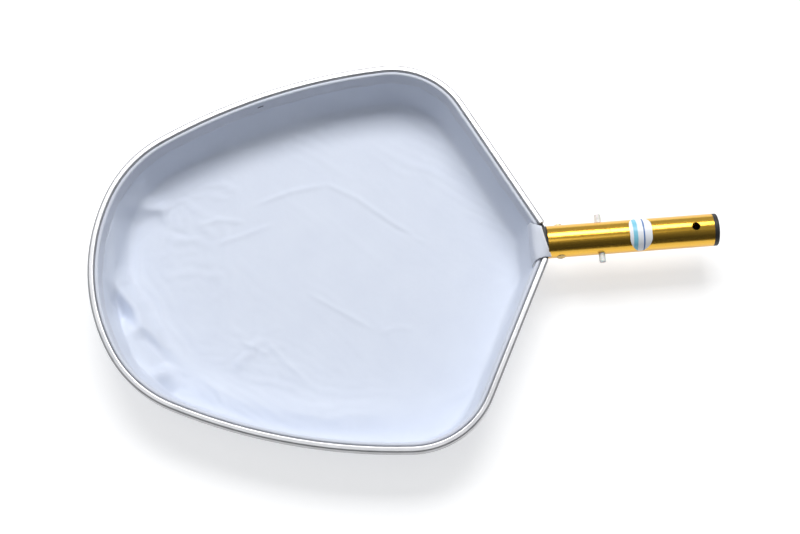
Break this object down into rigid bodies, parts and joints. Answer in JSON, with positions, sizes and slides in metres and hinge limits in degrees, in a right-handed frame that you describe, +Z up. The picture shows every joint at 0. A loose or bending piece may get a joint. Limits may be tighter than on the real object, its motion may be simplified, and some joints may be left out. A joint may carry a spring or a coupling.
{
  "type": "leaf skimmer net",
  "caption": "Flat-mouthed pool net: a bent rail holds a shallow cloth bag and a riveted tube handle carries sprung lock buttons.",
  "frame": {"origin": "bottom centre of the whole net as it lies on its bag", "axes": "+X along the handle tube, out of the net; +Z up, out of the bag's mouth; +Y across the net, on the right of someone at the handle who looks at the net"},
  "size_m": [0.6096, 0.3918, 0.066],
  "materials": {
    "rail": "satin anodised extrusion",
    "bead": "soft cord, smooth",
    "hem": "woven polyester tape",
    "mesh": "fine silt mesh, slight sheen",
    "staple": "bright wire",
    "yoke": "glass-filled nylon, fine moulded texture",
    "screws": "zinc plated",
    "tube": "bright gold anodised, drawn",
    "rivets": "domed heads, satin",
    "mandrels": "snapped steel pin",
    "spring": "stainless strip",
    "buttons": "natural nylon",
    "cap": "soft black moulding",
    "label": "printed film"
  },
  "bodies": {
    "net_head": {"frame_rail": "rail", "hem_bead": "bead", "hem_tape": "hem", "net_bag": "mesh", "mouth_gusset": "hem", "hem_staple": "staple", "yoke": "yoke", "prong_screw_left": "screws", "prong_screw_right": "screws", "handle_tube": "tube", "rivet_left": "rivets", "rivet_right": "rivets", "rivet_mandrel_left": "mandrels", "rivet_mandrel_right": "mandrels", "clip_spring": "spring", "end_cap": "cap", "tube_label": "label"},
    "lock_button_left": {"button_left": "buttons"},
    "lock_button_right": {"button_right": "buttons"}
  },
  "joints": [
    {"name": "press_left_button", "type": "slide", "parent": "net_head", "child": "lock_button_left", "axis": [0, 1, 0], "range_m": [0, 0.0086], "stiffness_N_per_m": 1200, "deforming": ["clip_spring"]},
    {"name": "press_right_button", "type": "slide", "parent": "net_head", "child": "lock_button_right", "axis": [0, -1, 0], "range_m": [0, 0.0086], "stiffness_N_per_m": 1200}
  ]
}
